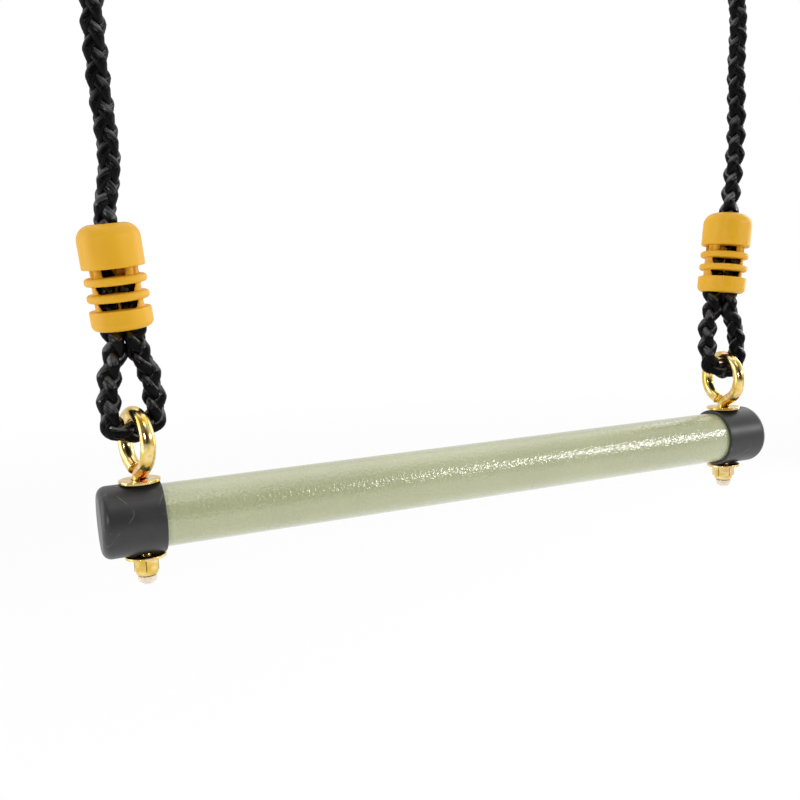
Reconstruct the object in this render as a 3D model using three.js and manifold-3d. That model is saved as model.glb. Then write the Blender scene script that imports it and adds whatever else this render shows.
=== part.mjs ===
import * as THREE from "three";
import { mergeVertices } from "three/addons/utils/BufferGeometryUtils.js";
import Module from "manifold-3d";

// A trapeze bar on two ropes: a capped steel tube hangs by two bent eye bolts in the rope's
// lower loops. Each rope is closed by a moulded clamp at both ends and hangs from a ring.
// Millimetres. X runs along the bar, Z is up, and the origin is midway between the two points
// where the hanging rings are held.

// Clearances
const seatGap = 0.3; // between pieces that touch
const boltHoleGap = 0.5; // round the bolt, on the radius
const cutOverrun = 2; // how far a cutting tool reaches past what it cuts
const weldDistance = 1e-4; // under which two corners of a mesh are one

// Bar
const boltSpacing = 410;
const tubeDiameter = 35;
const tubeWall = 1.8;
const capWall = 2;
const capInboardLength = 10.7; // from the bolt to the cap's open rim
const capOutboardLength = 22.8; // from the bolt to the cap's closed face
const capEndWall = 3;
const capEdgeRadius = 5;
const capRimRadius = 0.7;

// Eye bolt and its fasteners
const boltDiameter = 8;
const eyeRadius = 15.5; // to the middle of the wire
const eyeBendRadius = 6; // where the shank turns into the eye
const eyeFlareAngle = Math.PI / 3; // how far the shank turns out before the eye turns back
const eyeEndLength = 4; // straight wire between the eye's round and its cut end
const boltTailLength = 3.2; // thread below the nut
const washerDiameter = 22.4;
const washerThickness = 1.6;
const nutAcrossFlats = 13;
const nutHexHeight = 6.8;
const nutCollarHeight = 3;
const nutCollarDiameter = 12;
const nutCollarRound = 1.6;
const nutChamfer = 0.7;
const nutTurn = (22 * Math.PI) / 180; // a corner of the hexagon faces the front
const threadCapDiameter = 10.2;
const threadCapEndWall = 1.6;
const threadCapRound = 3.6;

// Rope
const ropeDiameter = 11.2;
const ropeSides = 8;
const crossingPoints = 6; // points of the loop's route that lead from its long leg to the bend
const crossingSteps = 9;

// Rope clamp, measured from the bend point just inside its head
const clampLength = 55.5;
const clampDiameter = 32.8;
const clampHeadLength = 22.9;
const clampShoulder = 8;
const clampGrooveHeight = 4.4;
const clampFlangeHeight = 4.3;
const clampNeckWidth = 24.8;
const clampNeckDepth = 17;
const clampNeckCorner = 5.5;
const clampTaper = 0.2; // the collar and flanges are this much smaller all round
const clampCollarRound = 3.6;
const windowWidth = 20.6;
const windowSlant = 1.6;
const windowFloors = [2, 2.4, 3]; // from the middle of the neck to the floor of each window
const straightLeg = 3; // of each leg below the clamp, before the loop turns
const postGapWidth = 11.8; // between the two front posts under the head
const sideWindowDepth = 8.4; // between the posts, seen from the side
const sideWindowFloor = 7.5; // from the clamp's axis
const bendDepth = 5; // from the head's mouth down to the bend point
const mouthRadius = 8.3;
const mouthFlareDepth = 7;
const boreFloorDepth = 7; // from the bend point down to the floor of the straight bore

// Where each suspension hangs: how far its clamp leans outward and tilts to the front, and how
// far the eye and the clamp are turned about the vertical
const bendHeight = 153.5; // lower bend point above the bar's axis
const bendOutset = 5.2; // bend point outboard of the bolt
const ropeDrop = 194.5; // from the upper bend point to the lower one
const degree = Math.PI / 180;
const sides = [
  {
    name: "left",
    sign: -1,
    eyeTurn: 16 * degree,
    clampLean: 5 * degree,
    clampTilt: 5 * degree,
    clampTurn: -10 * degree,
  },
  {
    name: "right",
    sign: 1,
    eyeTurn: 0,
    clampLean: 8 * degree,
    clampTilt: 0,
    clampTurn: -28 * degree,
  },
];

// Hanging ring
const ringWireDiameter = 6;
const ringInnerDiameter = 40;

// Route of the rope's loop, chosen by hand: millimetres across the loop and along the clamp's
// axis from the bend point. It starts at the short end that the clamp holds, and ends below
// the bend point.
const loopRoute = [
  [-5.8, -24], [-5.8, -30], [-5.8, -38], [-5.8, -48], [-5.85, -54.5], [-6.4, -60.5], [-7.8, -66.5],
  [-9.6, -72.5], [-11, -79], [-12, -86], [-12.6, -92.4], [-12.5, -98.8], [-10, -103.6],
  [-5.2, -105.5], [0, -105.7], [5.2, -105.5], [10, -103.6], [12.5, -98.8], [12.6, -92.4],
  [12, -86], [11, -79], [9.6, -72.5], [7.8, -66.5], [6.4, -60.5], [5.85, -54.5], [5.8, -48],
  [5.8, -38], [5.8, -28], [5.4, -21], [3.4, -14.5], [1, -9], [0, -5.95],
];

// Routes of the hanging stretches, chosen by hand: millimetres outboard of the bend point
// and up from it.
const stretchRoutes = {
  left: [
    [0, 0], [0.5, 5], [0.6, 10], [-0.6, 17], [-2.6, 27], [-3.8, 37], [-3.7, 48], [-2.8, 63],
    [-2, 79], [-1.8, 97], [-1.9, 117], [-1.7, 137], [-1.1, 157], [-0.4, 175], [0, 188], [0, 194.5],
  ],
  right: [
    [0, 0], [0.6, 5], [1.6, 12], [3, 21], [5, 35], [6.9, 51], [7.8, 69], [7.8, 87],
    [7.7, 104], [8.8, 120], [9.6, 136], [8.3, 151], [5, 167], [1.8, 181], [0.2, 190], [0, 194.5],
  ],
};

// Sizes that follow from the ones above
const tubeRadius = tubeDiameter / 2;
const capRadius = tubeRadius + seatGap + capWall;
const washerFace = capRadius + seatGap; // lower face of the upper washer
const washerTop = washerFace + washerThickness;
const boltRadius = boltDiameter / 2;
const holeRadius = boltRadius + boltHoleGap;
const ropeRadius = ropeDiameter / 2;
const boreRadius = ropeRadius + seatGap;
const bendStart = washerFace + washerThickness / 2;
const flareLength =
  ((eyeRadius + eyeBendRadius) * Math.cos(eyeFlareAngle) - eyeBendRadius) / Math.sin(eyeFlareAngle);
const eyeCentre =
  bendStart +
  (eyeRadius + eyeBendRadius) * Math.sin(eyeFlareAngle) +
  flareLength * Math.cos(eyeFlareAngle);
const loopSeat = eyeCentre + eyeRadius - boltRadius - seatGap - ropeRadius;
const loopReach = Math.max(...loopRoute.map(([, along]) => -along));
const clampMouth = bendDepth - clampLength; // where the loop's two legs come out
const turnStart = clampMouth - straightLeg;
const nutTop = -washerTop - seatGap;
const nutBottom = nutTop - nutHexHeight - nutCollarHeight;
const boltEnd = nutBottom - boltTailLength;
const ringRadius = (ringInnerDiameter + ringWireDiameter) / 2;
const upperBend = bendHeight + ropeDrop;
const ringWireHeight = upperBend + loopReach - ropeRadius - seatGap - ringWireDiameter / 2;
const hangHeight = ringWireHeight + ringRadius + ringInnerDiameter / 2;

// Facet counts
const tubeFacets = 40;
const smallFacets = 16;
const wireFacets = 12;
const boreFacets = 10;
const eyeSteps = 42;
const ringSteps = 28;
const loopStepShare = 0.6; // of the rope's diameter, between two sections of a loop
const stretchStepShare = 1.6;

const material = (color, roughness, metalness) =>
  new THREE.MeshStandardMaterial({ color, roughness, metalness });
const materials = {
  paint: material(0xb2ba99, 0.32, 0.1),
  cap: material(0x373738, 0.5, 0),
  zinc: material(0xd9a63a, 0.25, 0.9),
  nylon: material(0xece5d0, 0.45, 0),
  rope: material(0x141416, 0.55, 0),
  clamp: material(0xebb441, 0.45, 0),
  steel: material(0xb9bcc0, 0.28, 0.95),
};

const wasm = await Module();
wasm.setup();

// Turns a closed geometry into a solid that can be cut and joined.
function solidOf(geometry) {
  const bare = geometry.index ? geometry.toNonIndexed() : geometry.clone();
  bare.deleteAttribute("normal");
  bare.deleteAttribute("uv");
  const merged = mergeVertices(bare, weldDistance);
  return new wasm.Manifold(
    new wasm.Mesh({
      numProp: 3,
      vertProperties: new Float32Array(merged.attributes.position.array),
      triVerts: new Uint32Array(merged.index.array),
    }),
  );
}

function geometryOf(solid) {
  const mesh = solid.getMesh();
  const geometry = new THREE.BufferGeometry();
  geometry.setAttribute("position", new THREE.BufferAttribute(mesh.vertProperties, 3));
  geometry.setIndex(new THREE.BufferAttribute(mesh.triVerts, 1));
  const flat = geometry.toNonIndexed();
  flat.computeVertexNormals();
  return flat;
}

// Revolves [radius, height] points about Z.
function turned(profile, facets) {
  const points = profile.map(([radius, height]) => new THREE.Vector2(radius, height));
  return new THREE.LatheGeometry(points, facets).rotateX(Math.PI / 2);
}

// Points of a quarter round, from one angle to another about a centre.
function arc(centreRadius, centreHeight, radius, from, to, steps) {
  const points = [];
  for (let step = 0; step <= steps; step++) {
    const angle = from + ((to - from) * step) / steps;
    points.push([
      centreRadius + radius * Math.cos(angle),
      centreHeight + radius * Math.sin(angle),
    ]);
  }
  return points;
}

function circleShape(radius, facets) {
  const points = [];
  for (let facet = 0; facet < facets; facet++) {
    const angle = (2 * Math.PI * facet) / facets;
    points.push(new THREE.Vector2(radius * Math.cos(angle), radius * Math.sin(angle)));
  }
  return new THREE.Shape(points);
}

// Sweeps a round section along a curve.
function swept(curve, radius, facets, steps) {
  return new THREE.ExtrudeGeometry(circleShape(radius, facets), { steps, extrudePath: curve });
}

function upright(radius, bottom, top, facets) {
  return new THREE.CylinderGeometry(radius, radius, top - bottom, facets)
    .rotateX(Math.PI / 2)
    .translate(0, 0, (top + bottom) / 2);
}

// Wire of the eye bolt: up the shank, out to one side, round the eye and back to a cut end.
class EyeBoltCurve extends THREE.Curve {
  constructor() {
    super();
    this.parts = [
      { length: bendStart - boltEnd, turn: 0 },
      { length: eyeBendRadius * eyeFlareAngle, turn: -eyeFlareAngle },
      { length: flareLength, turn: 0 },
      { length: eyeRadius * (Math.PI + 2 * eyeFlareAngle), turn: Math.PI + 2 * eyeFlareAngle },
      { length: eyeEndLength, turn: 0 },
    ];
    this.wireLength = this.parts.reduce((sum, part) => sum + part.length, 0);
  }
  getPoint(share, target = new THREE.Vector3()) {
    let left = share * this.wireLength;
    let heading = Math.PI / 2;
    let across = 0;
    let up = boltEnd;
    for (const part of this.parts) {
      const length = Math.min(left, part.length);
      const turn = (part.turn * length) / part.length;
      if (part.turn === 0) {
        across += length * Math.cos(heading);
        up += length * Math.sin(heading);
      } else {
        const radius = part.length / part.turn;
        across += radius * (Math.sin(heading) - Math.sin(heading - turn));
        up += radius * (Math.cos(heading - turn) - Math.cos(heading));
      }
      heading -= turn;
      left -= length;
      if (left <= 0) break;
    }
    return target.set(0, across, up);
  }
}

// Section of a clamp: a rectangle with round corners, or a circle where the corners meet.
function clampSection(width, depth, corner) {
  const points = [];
  const cornerPoints = 5;
  const centres = [
    [1, 1, 0],
    [-1, 1, Math.PI / 2],
    [-1, -1, Math.PI],
    [1, -1, (3 * Math.PI) / 2],
  ];
  for (const [signX, signY, start] of centres) {
    for (let point = 0; point < cornerPoints; point++) {
      const angle = start + (Math.PI / 2) * ((point + 0.5) / cornerPoints);
      points.push([
        signX * (width / 2 - corner) + corner * Math.cos(angle),
        signY * (depth / 2 - corner) + corner * Math.sin(angle),
      ]);
    }
  }
  return points;
}

// Joins a stack of sections, each { height, points }, into one closed skin.
function lofted(sections) {
  const count = sections[0].points.length;
  const positions = [];
  const indices = [];
  for (const { height, points } of sections) {
    for (const [x, y] of points) positions.push(x, y, height);
  }
  for (let level = 0; level + 1 < sections.length; level++) {
    for (let side = 0; side < count; side++) {
      const next = (side + 1) % count;
      const low = level * count;
      const high = low + count;
      indices.push(low + side, low + next, high + next, low + side, high + next, high + side);
    }
  }
  const last = (sections.length - 1) * count;
  for (let side = 1; side + 1 < count; side++) {
    indices.push(0, side + 1, side, last, last + side, last + side + 1);
  }
  const geometry = new THREE.BufferGeometry();
  geometry.setAttribute("position", new THREE.Float32BufferAttribute(positions, 3));
  geometry.setIndex(indices);
  return geometry;
}

// Heights of the clamp's steps, from the legs' mouth up to the head.
const headBottom = bendDepth - clampHeadLength;
const grooveOne = [headBottom - clampGrooveHeight, headBottom];
const flangeOneBottom = grooveOne[0] - clampFlangeHeight;
const grooveTwo = [flangeOneBottom - clampGrooveHeight, flangeOneBottom];
const flangeTwoBottom = grooveTwo[0] - clampFlangeHeight;
const grooveThree = [flangeTwoBottom - clampGrooveHeight, flangeTwoBottom];

function clampSkin() {
  const inset = (amount) => {
    const diameter = clampDiameter - 2 * amount;
    return clampSection(diameter, diameter, diameter / 2);
  };
  const neck = clampSection(clampNeckWidth, clampNeckDepth, clampNeckCorner);
  const rim = inset(clampTaper);
  const sections = [];
  const collarSteps = 3;
  for (let step = 0; step <= collarSteps; step++) {
    const angle = (Math.PI / 2) * (step / collarSteps);
    sections.push({
      height: clampMouth + clampCollarRound * (1 - Math.cos(angle)),
      points: inset(clampTaper + clampCollarRound * (1 - Math.sin(angle))),
    });
  }
  for (const [bottom, top] of [grooveThree, grooveTwo, grooveOne]) {
    sections.push(
      { height: bottom, points: rim },
      { height: bottom, points: neck },
      { height: top, points: neck },
      { height: top, points: rim },
    );
  }
  const shoulderSteps = 4;
  for (let step = 0; step <= shoulderSteps; step++) {
    const angle = (Math.PI / 2) * (step / shoulderSteps);
    sections.push({
      height: bendDepth - clampShoulder * (1 - Math.sin(angle)),
      points: inset(clampShoulder * (1 - Math.cos(angle))),
    });
  }
  return lofted(sections);
}

// A window in the front or the back of the neck, down to its floor, narrower at its lower edge.
function windowTool({ groove: [bottom, top], width, slant, floor, face }) {
  const outline = new THREE.Shape([
    new THREE.Vector2(-width / 2 + slant, bottom),
    new THREE.Vector2(width / 2 - slant, bottom),
    new THREE.Vector2(width / 2, top),
    new THREE.Vector2(-width / 2, top),
  ]);
  const depth = clampNeckDepth / 2 + cutOverrun - floor;
  return new THREE.ExtrudeGeometry(outline, { depth, bevelEnabled: false })
    .translate(0, 0, face > 0 ? floor : -floor - depth)
    .rotateX(Math.PI / 2);
}

function windowTools() {
  const [floorOne, floorTwo, floorThree] = windowFloors;
  const windows = [
    { groove: grooveOne, width: postGapWidth, slant: 0, floor: floorOne },
    { groove: grooveTwo, width: windowWidth, slant: windowSlant, floor: floorTwo },
    { groove: grooveThree, width: windowWidth, slant: windowSlant, floor: floorThree },
  ];
  const sideReach = clampNeckWidth / 2 + cutOverrun - sideWindowFloor;
  const tools = [];
  for (const face of [-1, 1]) {
    for (const window of windows) tools.push(windowTool({ ...window, face }));
    const sideWindow = new THREE.BoxGeometry(sideReach, sideWindowDepth, clampGrooveHeight);
    const across = face * (sideWindowFloor + sideReach / 2);
    tools.push(sideWindow.translate(across, 0, (grooveOne[0] + grooveOne[1]) / 2));
  }
  return tools;
}

// The loop's route in the clamp's own frame. Below the mouth its middle line heads for the
// seat and its plane turns to the piece that it holds.
function loopPoints({ seat, turn }) {
  return loopRoute.map(([across, along]) => {
    const share = THREE.MathUtils.clamp((turnStart - along) / (turnStart + loopReach), 0, 1);
    const angle = turn * THREE.MathUtils.smoothstep(share, 0, 1);
    return new THREE.Vector3(
      across * Math.cos(angle) + seat.x * share,
      across * Math.sin(angle) + seat.y * share,
      along + seat.z * share,
    );
  });
}

function ropeCurve(points) {
  return new THREE.CatmullRomCurve3(points, false, "centripetal");
}

function ropeSweep(points, stepShare) {
  const curve = ropeCurve(points);
  const steps = Math.round(curve.getLength() / (ropeDiameter * stepShare));
  return swept(curve, ropeRadius, ropeSides, steps);
}

// The loop's own bore in the clamp, wider than the rope by the gap: a straight bore for each leg
// and one that crosses to the middle of the head.
function boreTools() {
  const [shortAcross, shortEnd] = loopRoute[0];
  const crossing = loopRoute.slice(-crossingPoints);
  const [longAcross, longEnd] = crossing[0];
  const facets = boreFacets;
  const radius = boreRadius / Math.cos(Math.PI / facets);
  const mouth = clampMouth - cutOverrun;
  const crossingPlaces = crossing.map(([across, along]) => new THREE.Vector3(across, 0, along));
  return [
    upright(radius, mouth, shortEnd + seatGap, facets).translate(shortAcross, 0, 0),
    upright(radius, mouth, longEnd + cutOverrun, facets).translate(longAcross, 0, 0),
    swept(ropeCurve(crossingPlaces), radius, facets, crossingSteps),
  ];
}

function clampSolid() {
  const seat = turned(
    [
      [0, -boreFloorDepth],
      [boreRadius, -boreFloorDepth],
      [boreRadius, bendDepth - mouthFlareDepth],
      [mouthRadius, bendDepth],
      [mouthRadius, bendDepth + cutOverrun],
      [0, bendDepth + cutOverrun],
    ],
    smallFacets,
  );
  let solid = solidOf(clampSkin());
  for (const tool of boreTools()) solid = solid.subtract(solidOf(tool));
  solid = solid.subtract(solidOf(seat));
  for (const tool of windowTools()) solid = solid.subtract(solidOf(tool));
  return solid;
}

// The hanging stretch, with a round end at each bend point.
function stretchSolid(points) {
  let solid = solidOf(ropeSweep(points, stretchStepShare));
  for (const end of [points[0], points[points.length - 1]]) {
    const ball = new THREE.SphereGeometry(ropeRadius, ropeSides, ropeSides - 2);
    solid = solid.add(solidOf(ball.translate(end.x, end.y, end.z)));
  }
  return solid;
}

function tubeSolid() {
  const inner = tubeRadius - tubeWall;
  const reach = boltSpacing / 2 + capOutboardLength - capEndWall - seatGap;
  const tube = turned(
    [
      [inner, -reach],
      [tubeRadius, -reach],
      [tubeRadius, reach],
      [inner, reach],
      [inner, -reach],
    ],
    tubeFacets,
  ).rotateY(Math.PI / 2);
  let solid = solidOf(tube);
  for (const { sign } of sides) {
    const hole = upright(holeRadius, -tubeRadius - cutOverrun, tubeRadius + cutOverrun, smallFacets);
    solid = solid.subtract(solidOf(hole.translate((sign * boltSpacing) / 2, 0, 0)));
  }
  return solid;
}

// A cap, closed towards +X, with the bolt's axis through its origin.
function capSolid() {
  const inner = capRadius - capWall;
  const edgeSteps = 3;
  const floor = capOutboardLength - capEndWall;
  const rimHeight = capRimRadius - capInboardLength;
  const edgeHeight = capOutboardLength - capEdgeRadius;
  const profile = [
    [0, floor],
    [inner, floor],
    [inner, -capInboardLength],
    ...arc(capRadius - capRimRadius, rimHeight, capRimRadius, -Math.PI / 2, 0, 2),
    ...arc(capRadius - capEdgeRadius, edgeHeight, capEdgeRadius, 0, Math.PI / 2, edgeSteps),
    [0, capOutboardLength],
  ];
  const hole = upright(holeRadius, -capRadius - cutOverrun, capRadius + cutOverrun, smallFacets);
  return solidOf(turned(profile, tubeFacets).rotateY(Math.PI / 2)).subtract(solidOf(hole));
}

// A washer, standing on its lower face.
function washerGeometry() {
  const outer = washerDiameter / 2;
  return turned(
    [
      [holeRadius, 0],
      [outer, 0],
      [outer, washerThickness],
      [holeRadius, washerThickness],
      [holeRadius, 0],
    ],
    smallFacets,
  );
}

// A lock nut, hanging from its upper face, with a round collar below the hexagon.
function nutSolid() {
  const corner = nutAcrossFlats / Math.sqrt(3);
  const collar = nutCollarDiameter / 2;
  const hex = upright(corner, -nutHexHeight, 0, 6);
  const envelope = turned(
    [
      [0, -nutHexHeight],
      [corner - nutChamfer, -nutHexHeight],
      [corner, -nutHexHeight + nutChamfer / 2],
      [corner, -nutChamfer / 2],
      [corner - nutChamfer, 0],
      [0, 0],
    ],
    smallFacets,
  );
  const bottom = -nutHexHeight - nutCollarHeight;
  const ring = turned(
    [
      [0, bottom],
      ...arc(collar - nutCollarRound, bottom + nutCollarRound, nutCollarRound, -Math.PI / 2, 0, 3),
      [collar, -nutHexHeight + nutChamfer],
      [0, -nutHexHeight + nutChamfer],
    ],
    smallFacets,
  );
  const bore = upright(boltRadius + seatGap, bottom - cutOverrun, cutOverrun, smallFacets);
  return solidOf(hex).intersect(solidOf(envelope)).add(solidOf(ring)).subtract(solidOf(bore));
}

// A plastic cap over the end of the thread, hanging from its open rim.
function threadCapGeometry() {
  const outer = threadCapDiameter / 2;
  const inner = boltRadius + seatGap;
  const floor = -boltTailLength;
  const bottom = floor - threadCapEndWall;
  return turned(
    [
      [0, bottom],
      ...arc(outer - threadCapRound, bottom + threadCapRound, threadCapRound, -Math.PI / 2, 0, 4),
      [outer, 0],
      [inner, 0],
      [inner, floor],
      [0, floor],
    ],
    smallFacets,
  );
}

function ringGeometry() {
  return new THREE.TorusGeometry(ringRadius, ringWireDiameter / 2, ropeSides, ringSteps).rotateX(
    Math.PI / 2,
  );
}

const trapeze = new THREE.Group();
trapeze.position.z = -hangHeight;

function addPiece(parent, name, shape, finish) {
  const geometry = shape.isBufferGeometry ? shape : geometryOf(shape);
  const mesh = new THREE.Mesh(geometry, finish);
  mesh.name = name;
  parent.add(mesh);
  return mesh;
}

addPiece(trapeze, "bar_tube", tubeSolid(), materials.paint);

const washer = washerGeometry();
const nut = geometryOf(nutSolid());
const cap = geometryOf(capSolid());
const threadCap = threadCapGeometry();
const eyeCurve = new EyeBoltCurve();
const eyeBolt = swept(eyeCurve, boltRadius, wireFacets, eyeSteps);
const ring = ringGeometry();

for (const side of sides) {
  const { name, sign } = side;

  // Fastening at this end of the bar
  const end = new THREE.Group();
  end.position.x = (sign * boltSpacing) / 2;
  trapeze.add(end);
  const capMesh = addPiece(end, name + "_end_cap", cap, materials.cap);
  capMesh.rotation.z = sign > 0 ? 0 : Math.PI;
  const bolt = addPiece(end, name + "_eye_bolt", eyeBolt, materials.zinc);
  bolt.rotation.z = side.eyeTurn;
  addPiece(end, name + "_upper_washer", washer, materials.zinc).position.z = washerFace;
  addPiece(end, name + "_lower_washer", washer, materials.zinc).position.z = -washerTop;
  const lockNut = addPiece(end, name + "_lock_nut", nut, materials.zinc);
  lockNut.position.z = nutTop;
  lockNut.rotation.z = nutTurn;
  addPiece(end, name + "_thread_cap", threadCap, materials.nylon).position.z = nutBottom - seatGap;

  // Lower clamp and loop, leaning about the lower bend point, with the loop's long leg outboard
  const bend = new THREE.Vector3(end.position.x + sign * bendOutset, 0, bendHeight);
  const clampFrame = new THREE.Group();
  clampFrame.position.copy(bend);
  const outboardTurn = side.clampTurn + (sign > 0 ? 0 : Math.PI);
  clampFrame.rotation.set(side.clampTilt, sign * side.clampLean, outboardTurn, "YXZ");
  trapeze.add(clampFrame);
  clampFrame.updateMatrix();
  const intoClamp = clampFrame.matrix.clone().invert();
  const loopEnd = new THREE.Vector3(end.position.x, 0, loopSeat).applyMatrix4(intoClamp);
  const seat = loopEnd.sub(new THREE.Vector3(0, 0, -loopReach));
  const lower = loopPoints({ seat, turn: side.eyeTurn - side.clampTurn });
  addPiece(clampFrame, name + "_lower_loop", ropeSweep(lower, loopStepShare), materials.rope);
  addPiece(clampFrame, name + "_lower_clamp", clampSolid(), materials.clamp);

  // Hanging stretch of the rope
  const stretch = stretchRoutes[name].map(
    ([out, up]) => new THREE.Vector3(bend.x + sign * out, 0, bend.z + up),
  );
  addPiece(trapeze, name + "_rope", stretchSolid(stretch), materials.rope);

  // Upper clamp and loop, upside down, with the loop over the ring's wire
  const upperFrame = new THREE.Group();
  upperFrame.position.set(bend.x, 0, upperBend);
  upperFrame.rotation.set(Math.PI, 0, Math.PI / 2);
  trapeze.add(upperFrame);
  const upper = loopPoints({ seat: new THREE.Vector3(), turn: 0 });
  addPiece(upperFrame, name + "_upper_loop", ropeSweep(upper, loopStepShare), materials.rope);
  addPiece(upperFrame, name + "_upper_clamp", clampSolid(), materials.clamp);
  const ringMesh = addPiece(trapeze, name + "_hanging_ring", ring, materials.steel);
  ringMesh.position.set(bend.x, 0, ringWireHeight + ringRadius);
}

const part = new THREE.Group();
part.add(trapeze);

export default part;
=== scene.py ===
import math

import bmesh
import bpy
from mathutils import Matrix, Vector


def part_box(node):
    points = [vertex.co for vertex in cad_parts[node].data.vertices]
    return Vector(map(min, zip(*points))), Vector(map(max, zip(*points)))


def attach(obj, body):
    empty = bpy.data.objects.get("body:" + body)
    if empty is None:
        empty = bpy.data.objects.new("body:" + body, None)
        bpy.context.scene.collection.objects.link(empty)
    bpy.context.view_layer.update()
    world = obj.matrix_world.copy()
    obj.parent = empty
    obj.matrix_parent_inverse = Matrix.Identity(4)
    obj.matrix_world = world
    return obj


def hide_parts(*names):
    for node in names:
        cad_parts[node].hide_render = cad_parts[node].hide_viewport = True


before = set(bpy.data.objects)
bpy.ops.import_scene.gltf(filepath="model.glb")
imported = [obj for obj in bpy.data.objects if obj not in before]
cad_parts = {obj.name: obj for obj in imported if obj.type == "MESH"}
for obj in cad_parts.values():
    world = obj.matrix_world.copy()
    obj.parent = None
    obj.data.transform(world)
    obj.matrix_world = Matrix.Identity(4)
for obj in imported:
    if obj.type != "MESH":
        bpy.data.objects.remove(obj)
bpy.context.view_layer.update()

# A trapeze bar on two braided ropes. Metres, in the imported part's own frame: X along the bar,
# Z up, with the origin midway between the two points where the hanging rings are held.
MM = 0.001
DEGREE = math.pi / 180

# Clearances
SEAT_GAP = 0.3 * MM
BOLT_HOLE_GAP = 0.5 * MM
CUT_OVERRUN = 2 * MM

# Facets round a piece, and the angle over which an edge stays sharp
LARGE_FACETS = 128
MIDDLE_FACETS = 96
SMALL_FACETS = 64
BORE_FACETS = 48
WIRE_FACETS = 32
SHARP_ANGLE = 38 * DEGREE

# Bar
BOLT_SPACING = 410 * MM
TUBE_DIAMETER = 35 * MM
TUBE_WALL = 1.8 * MM
TUBE_EDGE_ROUND = 0.3 * MM
CAP_WALL = 2 * MM
CAP_INBOARD = 10.7 * MM
CAP_OUTBOARD = 22.8 * MM
CAP_END_WALL = 3 * MM
CAP_EDGE_ROUND = 5 * MM
CAP_RIM_ROUND = 0.7 * MM

# Eye bolt and its fasteners
BOLT_DIAMETER = 8 * MM
BOLT_TAIL = 3.2 * MM
EYE_RADIUS = 15.5 * MM
EYE_BEND_RADIUS = 6 * MM
EYE_FLARE = 60 * DEGREE
EYE_END = 4 * MM
EYE_STEP = 3 * DEGREE
WIRE_END_ROUND = 0.7 * MM
WIRE_END_STEPS = 4
WASHER_DIAMETER = 22.4 * MM
WASHER_THICKNESS = 1.6 * MM
WASHER_ROUND = 0.35 * MM
NUT_ACROSS_FLATS = 13 * MM
NUT_HEX_HEIGHT = 6.8 * MM
NUT_CHAMFER = 0.7 * MM
NUT_CORNER_ROUND = 0.6 * MM
NUT_CORNER_SPREAD = 1.8 * DEGREE  # of each corner, which is drawn darker
NUT_SHARP_ANGLE = 28 * DEGREE
NUT_TURN = 22 * DEGREE
NUT_COLLAR_HEIGHT = 3 * MM
NUT_COLLAR_DIAMETER = 12 * MM
NUT_COLLAR_ROUND = 1.6 * MM
THREAD_CAP_DIAMETER = 10.2 * MM
THREAD_CAP_END_WALL = 1.6 * MM
THREAD_CAP_ROUND = 3.6 * MM

# Rope: a round braid of four strands
ROPE_DIAMETER = 11.2 * MM
STRANDS = 4
LAY_LENGTH = 26.4 * MM
BRAID_RADIUS = 3.1 * MM
OVER_UNDER = 1.15 * MM
STRAND_WIDTH = 6.5 * MM
STRAND_THICKNESS = 5.1 * MM
STRAND_SIDES = 14
STRAND_STEP = 0.6 * MM
CROWN_HOLD = 0.36  # how long a strand keeps to the outside before it crosses under
CROWN_SWELL = 0.15  # how much thicker it is there, and thinner where it is crossed
BRAID_TWIST = -4.5  # radians in each metre
FRONT = (0.0, -1.0, 0.0)
GRIPPED_SHARE = 0.96  # of the braid's size, where a clamp grips it
MOUTH_SHARE = 0.88  # where a rope bends in the mouth of its upper clamp
MOUTH_LENGTH = 10 * MM
SEATED_SHARE = 0.86  # where the loop bears on its eye or ring
NECKED_SHARE = 1.16  # just below the clamp, where the two legs lie together
NECKED_LENGTH = 12 * MM
SHARE_SOFTENING = 6  # rounds in which these shares run into each other
LEG_PULL = 1.2 * MM  # the soft legs press together this much, each
LEG_PULL_DROP = 9 * MM  # most of all this far below the clamp
LEG_PULL_REACH = 14 * MM

# Rope clamp, measured from the bend point just inside its head
CLAMP_LENGTH = 55.5 * MM
CLAMP_DIAMETER = 32.8 * MM
CLAMP_HEAD = 22.9 * MM
CLAMP_SHOULDER = 8 * MM
CLAMP_GROOVE = 4.4 * MM
CLAMP_FLANGE = 4.3 * MM
CLAMP_NECK_WIDTH = 24.8 * MM
CLAMP_NECK_DEPTH = 17 * MM
CLAMP_NECK_CORNER = 5.5 * MM
CLAMP_TAPER = 0.2 * MM
CLAMP_COLLAR_ROUND = 3.6 * MM
CLAMP_EDGE_ROUND = 0.6 * MM
CLAMP_FLANGE_ROUND = 1.7 * MM
POST_GAP = 11.8 * MM
POST_RADIUS = 1.9 * MM
POST_STAND = 0.5 * MM  # how far the posts stand out from the neck
POST_RECESS = 2.3 * MM  # beside each post, from the face of the neck
WINDOW_WIDTHS = [POST_GAP, 20.6 * MM, 20.6 * MM]  # in the grooves, from the head down
WINDOW_SLANTS = [0, 1.6 * MM, 1.6 * MM]
WINDOW_FLOORS = [2 * MM, 2.4 * MM, 3 * MM]  # from the middle of the neck
SIDE_WINDOW = 8.4 * MM
SIDE_WINDOW_FLOOR = 7.5 * MM
WEBS = [  # walls left around and between the bores: width, depth, bottom and top
    (1.1 * MM, 5 * MM, -46 * MM, -38.4 * MM),
    (23 * MM, 1.1 * MM, -46 * MM, -17 * MM),
]
BEND_DEPTH = 5 * MM
MOUTH_RADIUS = 8.3 * MM
MOUTH_FLARE = 7 * MM
BORE_FLOOR = 7 * MM
STRAIGHT_LEG = 3 * MM
CLAMP_VOXEL = 0.42 * MM
CLAMP_SOFTENING = 4  # rounds of smoothing on the moulded edges

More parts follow.
